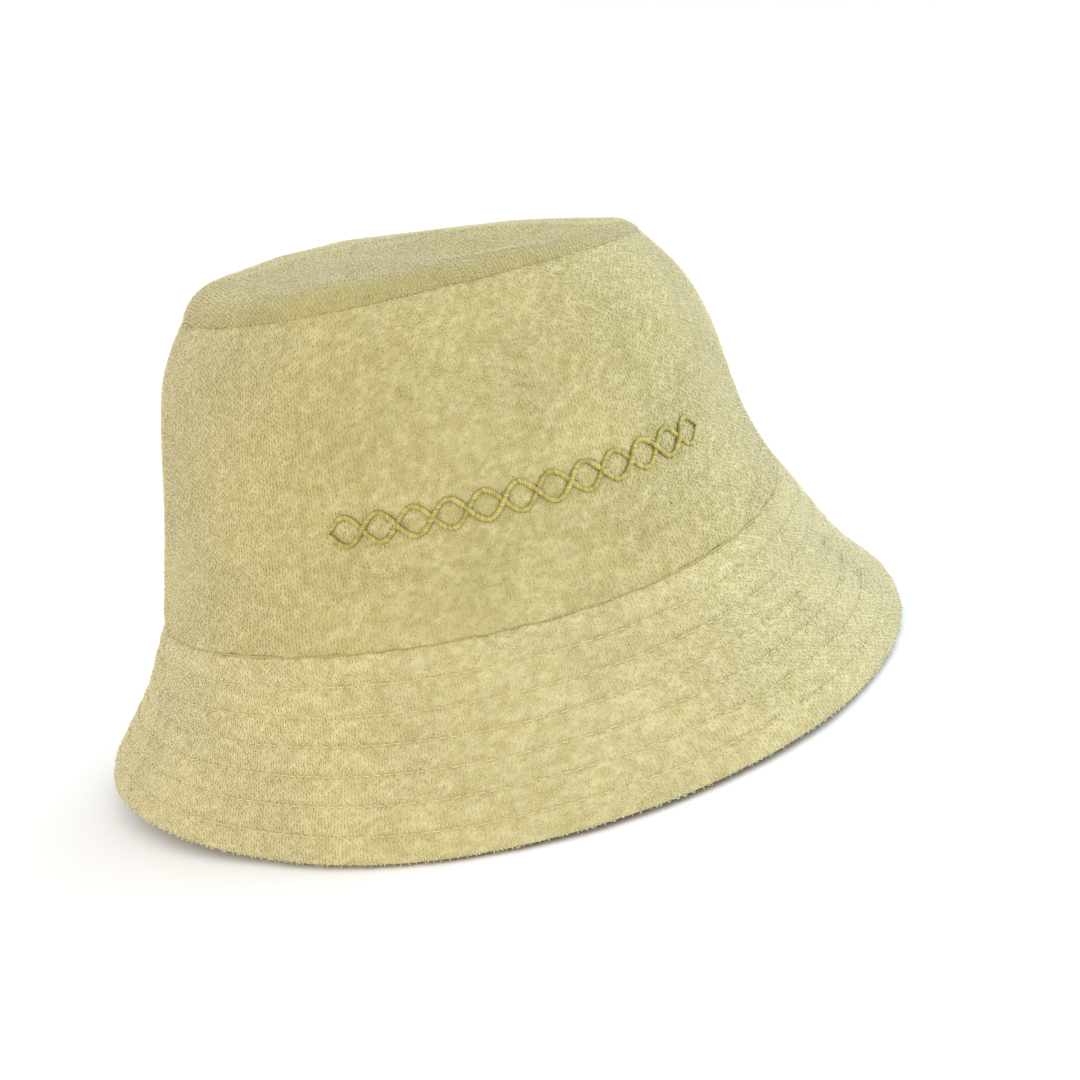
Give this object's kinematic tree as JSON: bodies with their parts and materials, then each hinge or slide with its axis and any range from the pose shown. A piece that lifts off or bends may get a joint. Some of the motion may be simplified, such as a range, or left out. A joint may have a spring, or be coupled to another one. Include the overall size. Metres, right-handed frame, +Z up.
{
  "type": "bucket hat",
  "caption": "Soft lined bucket hat in terry cloth, with an oval tip, a sloping topstitched brim and a satin-stitched twist across the front.",
  "frame": {"origin": "under the middle of the brim's outline, on the level edge that the hat stands on", "axes": "+Z up through the crown, -Y out of the embroidered front, +X to the right as seen from the front"},
  "size_m": [0.201, 0.2264, 0.1163],
  "materials": {
    "terry": "looped pile",
    "lining_cotton": "plain weave, matte",
    "sweatband_cotton": "twill, matte",
    "interlining": "non-woven, matte",
    "seam_thread": "spun thread",
    "embroidery_thread": "satin",
    "label_satin": "satin"
  },
  "bodies": {
    "hat": {"crown_front": "terry", "crown_back": "terry", "brim_upper_front": "terry", "brim_upper_back": "terry", "brim_under_front": "terry", "brim_under_back": "terry", "brim_interlining": "interlining", "lining_front": "lining_cotton", "lining_back": "lining_cotton", "sweatband": "sweatband_cotton", "sweatband_stitch": "seam_thread", "base_seam_thread": "seam_thread", "side_seam_thread_left": "seam_thread", "side_seam_thread_right": "seam_thread", "brim_stitch_row_1": "seam_thread", "brim_stitch_row_2": "seam_thread", "brim_stitch_row_3": "seam_thread", "brim_stitch_row_4": "seam_thread", "brim_stitch_row_5": "seam_thread", "brim_stitch_row_6": "seam_thread", "embroidery_strand_lower": "embroidery_thread", "embroidery_strand_upper": "embroidery_thread", "embroidery_backing": "interlining"},
    "tip": {"crown_top": "terry", "lining_top": "lining_cotton", "tip_seam_thread": "seam_thread"},
    "care_tab": {"care_label": "label_satin"},
    "size_tab": {"size_label": "label_satin"}
  },
  "joints": [
    {"name": "crown_push", "type": "slide", "parent": "hat", "child": "tip", "axis": [0, 0, -1], "range_m": [0, 0.038]},
    {"name": "care_label_flap", "type": "hinge", "parent": "hat", "child": "care_tab", "pos_m": [-0.0099, 0.08517, 0.038], "axis": [-0.9874, -0.1583, 0], "range_deg": [-12, 162]},
    {"name": "size_label_flap", "type": "hinge", "parent": "hat", "child": "size_tab", "pos_m": [0.00995, 0.08549, 0.038], "axis": [-0.9874, 0.1583, 0], "range_deg": [-12, 162]}
  ]
}
